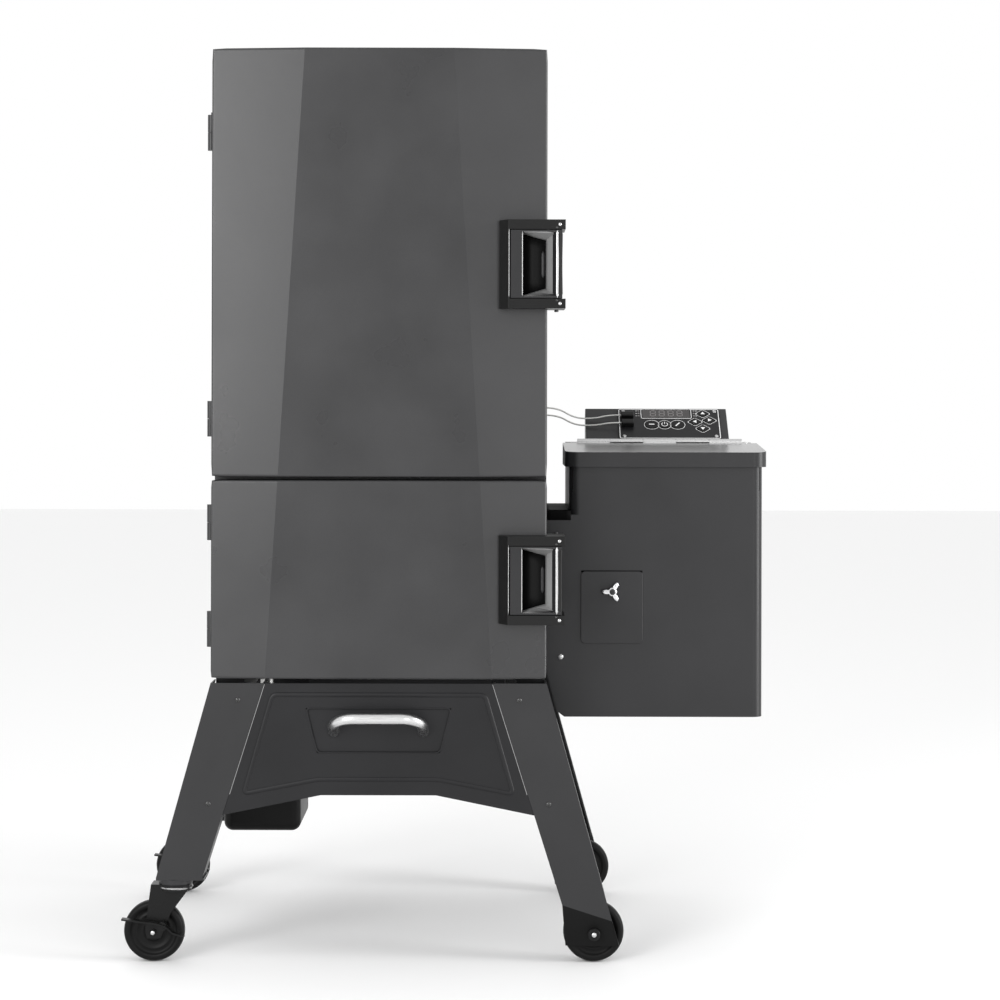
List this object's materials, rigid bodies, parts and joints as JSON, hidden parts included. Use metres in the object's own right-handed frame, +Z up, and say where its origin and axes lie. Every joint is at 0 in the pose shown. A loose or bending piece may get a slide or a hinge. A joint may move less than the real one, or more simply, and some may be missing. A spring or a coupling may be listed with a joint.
{
  "type": "electric cabinet smoker",
  "caption": "Upright insulated smoker cabinet with stacked doors on a wheeled stand, with a side pellet hopper, lid and slanted controller.",
  "frame": {"origin": "middle of the footprint, on the floor", "axes": "+Z up, -Y towards the doors, +X towards the hopper"},
  "size_m": [0.8366, 0.5156, 1.145],
  "materials": {
    "black_paint": "satin",
    "liner_steel": "satin",
    "wool_core": "matte",
    "seal_rubber": "matte",
    "bright_steel": "satin",
    "rack_chrome": "polished",
    "latch_plastic": "satin",
    "plain_steel": "satin",
    "zinc_cast": "satin",
    "grey_plastic": "gloss",
    "key_rubber": "matte",
    "cable_braid": "satin",
    "wheel_rubber": "matte",
    "motor_grey": "matte"
  },
  "bodies": {
    "cabinet": {"cabinet_shell": "black_paint", "inner_liner": "liner_steel", "wall_insulation": "wool_core", "back_panel": "black_paint", "cabinet_hinge_halves": "black_paint", "latch_keepers": "black_paint", "rack_rails": "plain_steel", "cooking_racks": "rack_chrome", "water_bowl": "plain_steel", "drip_tray": "plain_steel", "fire_pot": "plain_steel", "auger_tube": "plain_steel", "auger_motor": "motor_grey", "fan_housing": "latch_plastic", "hopper_housing": "black_paint", "hopper_bin": "liner_steel", "controller_box": "black_paint", "faceplate": "grey_plastic", "probe_plugs": "grey_plastic", "probe_port": "seal_rubber", "probe_cable_lower": "cable_braid", "probe_cable_upper": "cable_braid", "legs": "black_paint", "front_panel": "black_paint", "stand_rails": "black_paint", "pull_handle": "bright_steel", "wheel_axles": "bright_steel"},
    "upper_door": {"upper_door_skin": "black_paint", "upper_door_liner": "wool_core", "upper_door_seal": "seal_rubber", "upper_door_hinge_halves": "black_paint", "upper_latch_base": "latch_plastic"},
    "lower_door": {"lower_door_skin": "black_paint", "lower_door_liner": "wool_core", "lower_door_seal": "seal_rubber", "lower_door_hinge_halves": "black_paint", "lower_latch_base": "latch_plastic"},
    "upper_latch": {"upper_latch_lever": "latch_plastic"},
    "lower_latch": {"lower_latch_lever": "latch_plastic"},
    "hopper_lid": {"hopper_lid": "black_paint"},
    "access_cover": {"access_cover": "black_paint"},
    "access_knob": {"access_knob": "zinc_cast"},
    "auger": {"auger_screw": "plain_steel"},
    "fan": {"fan_impeller": "latch_plastic"},
    "front_wheel": {"front_wheel": "wheel_rubber"},
    "rear_wheel": {"rear_wheel": "wheel_rubber"},
    "front_caster": {"front_caster_fork": "plain_steel"},
    "front_caster_wheel": {"front_caster_wheel": "wheel_rubber"},
    "front_caster_brake": {"front_caster_brake": "plain_steel"},
    "rear_caster": {"rear_caster_fork": "plain_steel"},
    "rear_caster_wheel": {"rear_caster_wheel": "wheel_rubber"},
    "rear_caster_brake": {"rear_caster_brake": "plain_steel"},
    "grease_bucket": {"grease_bucket": "plain_steel"},
    "key_set": {"key_set": "key_rubber"},
    "key_power": {"key_power": "key_rubber"},
    "key_probe": {"key_probe": "key_rubber"},
    "key_up": {"key_up": "key_rubber"},
    "key_down": {"key_down": "key_rubber"},
    "key_left": {"key_left": "key_rubber"},
    "key_right": {"key_right": "key_rubber"}
  },
  "joints": [
    {"name": "upper_door_hinge", "type": "hinge", "parent": "cabinet", "child": "upper_door", "pos_m": [-0.2932, -0.18096, 0.877], "axis": [0, 0, -1], "range_deg": [0, 120]},
    {"name": "lower_door_hinge", "type": "hinge", "parent": "cabinet", "child": "lower_door", "pos_m": [-0.2932, -0.18096, 0.481], "axis": [0, 0, -1], "range_deg": [0, 120]},
    {"name": "upper_latch_pivot", "type": "hinge", "parent": "upper_door", "child": "upper_latch", "pos_m": [0.1438, -0.19421, 0.874], "axis": [0, 0, 1], "range_deg": [0, 30]},
    {"name": "lower_latch_pivot", "type": "hinge", "parent": "lower_door", "child": "lower_latch", "pos_m": [0.1438, -0.19421, 0.482], "axis": [0, 0, 1], "range_deg": [0, 30]},
    {"name": "hopper_lid_hinge", "type": "hinge", "parent": "cabinet", "child": "hopper_lid", "pos_m": [0.2878, 0.01029, 0.65025], "axis": [-1, 0, 0], "range_deg": [0, 95]},
    {"name": "access_cover_pull", "type": "slide", "parent": "cabinet", "child": "access_cover", "axis": [0, -1, 0], "range_m": [0, 0.05]},
    {"name": "access_knob_turn", "type": "hinge", "parent": "access_cover", "child": "access_knob", "pos_m": [0.2183, -0.12821, 0.4585], "axis": [0, -1, 0], "continuous": true},
    {"name": "auger_turn", "type": "hinge", "parent": "cabinet", "child": "auger", "pos_m": [0.1318, -0.01521, 0.47], "axis": [1, 0, 0], "continuous": true},
    {"name": "fan_spin", "type": "hinge", "parent": "cabinet", "child": "fan", "pos_m": [0.1418, -0.01521, 0.415], "axis": [1, 0, 0], "continuous": true},
    {"name": "front_wheel_spin", "type": "hinge", "parent": "cabinet", "child": "front_wheel", "pos_m": [0.1918, -0.19821, 0.0381], "axis": [0, 1, 0], "continuous": true},
    {"name": "rear_wheel_spin", "type": "hinge", "parent": "cabinet", "child": "rear_wheel", "pos_m": [0.1918, 0.21779, 0.0381], "axis": [0, 1, 0], "continuous": true},
    {"name": "front_caster_swivel", "type": "hinge", "parent": "cabinet", "child": "front_caster", "pos_m": [-0.3337, -0.20021, 0.097], "axis": [0, 0, 1], "continuous": true},
    {"name": "front_caster_spin", "type": "hinge", "parent": "front_caster", "child": "front_caster_wheel", "pos_m": [-0.3602, -0.20021, 0.0381], "axis": [0, 1, 0], "continuous": true},
    {"name": "front_caster_pedal", "type": "hinge", "parent": "front_caster", "child": "front_caster_brake", "pos_m": [-0.3477, -0.22021, 0.0471], "axis": [0, -1, 0], "range_deg": [0, 18]},
    {"name": "rear_caster_swivel", "type": "hinge", "parent": "cabinet", "child": "rear_caster", "pos_m": [-0.3537, 0.21979, 0.097], "axis": [0, 0, 1], "continuous": true},
    {"name": "rear_caster_spin", "type": "hinge", "parent": "rear_caster", "child": "rear_caster_wheel", "pos_m": [-0.3802, 0.21979, 0.0381], "axis": [0, 1, 0], "continuous": true},
    {"name": "rear_caster_pedal", "type": "hinge", "parent": "rear_caster", "child": "rear_caster_brake", "pos_m": [-0.3677, 0.19979, 0.0471], "axis": [0, -1, 0], "range_deg": [0, 18]},
    {"name": "grease_bucket_draw", "type": "slide", "parent": "cabinet", "child": "grease_bucket", "axis": [-1, 0, 0], "range_m": [0, 0.1]},
    {"name": "key_set_press", "type": "slide", "parent": "cabinet", "child": "key_set", "axis": [0, 0.6428, -0.766], "range_m": [0, 0.0008], "stiffness_N_per_m": 400},
    {"name": "key_power_press", "type": "slide", "parent": "cabinet", "child": "key_power", "axis": [0, 0.6428, -0.766], "range_m": [0, 0.0008], "stiffness_N_per_m": 400},
    {"name": "key_probe_press", "type": "slide", "parent": "cabinet", "child": "key_probe", "axis": [0, 0.6428, -0.766], "range_m": [0, 0.0008], "stiffness_N_per_m": 400},
    {"name": "key_up_press", "type": "slide", "parent": "cabinet", "child": "key_up", "axis": [0, 0.6428, -0.766], "range_m": [0, 0.0008], "stiffness_N_per_m": 400},
    {"name": "key_down_press", "type": "slide", "parent": "cabinet", "child": "key_down", "axis": [0, 0.6428, -0.766], "range_m": [0, 0.0008], "stiffness_N_per_m": 400},
    {"name": "key_left_press", "type": "slide", "parent": "cabinet", "child": "key_left", "axis": [0, 0.6428, -0.766], "range_m": [0, 0.0008], "stiffness_N_per_m": 400},
    {"name": "key_right_press", "type": "slide", "parent": "cabinet", "child": "key_right", "axis": [0, 0.6428, -0.766], "range_m": [0, 0.0008], "stiffness_N_per_m": 400}
  ]
}
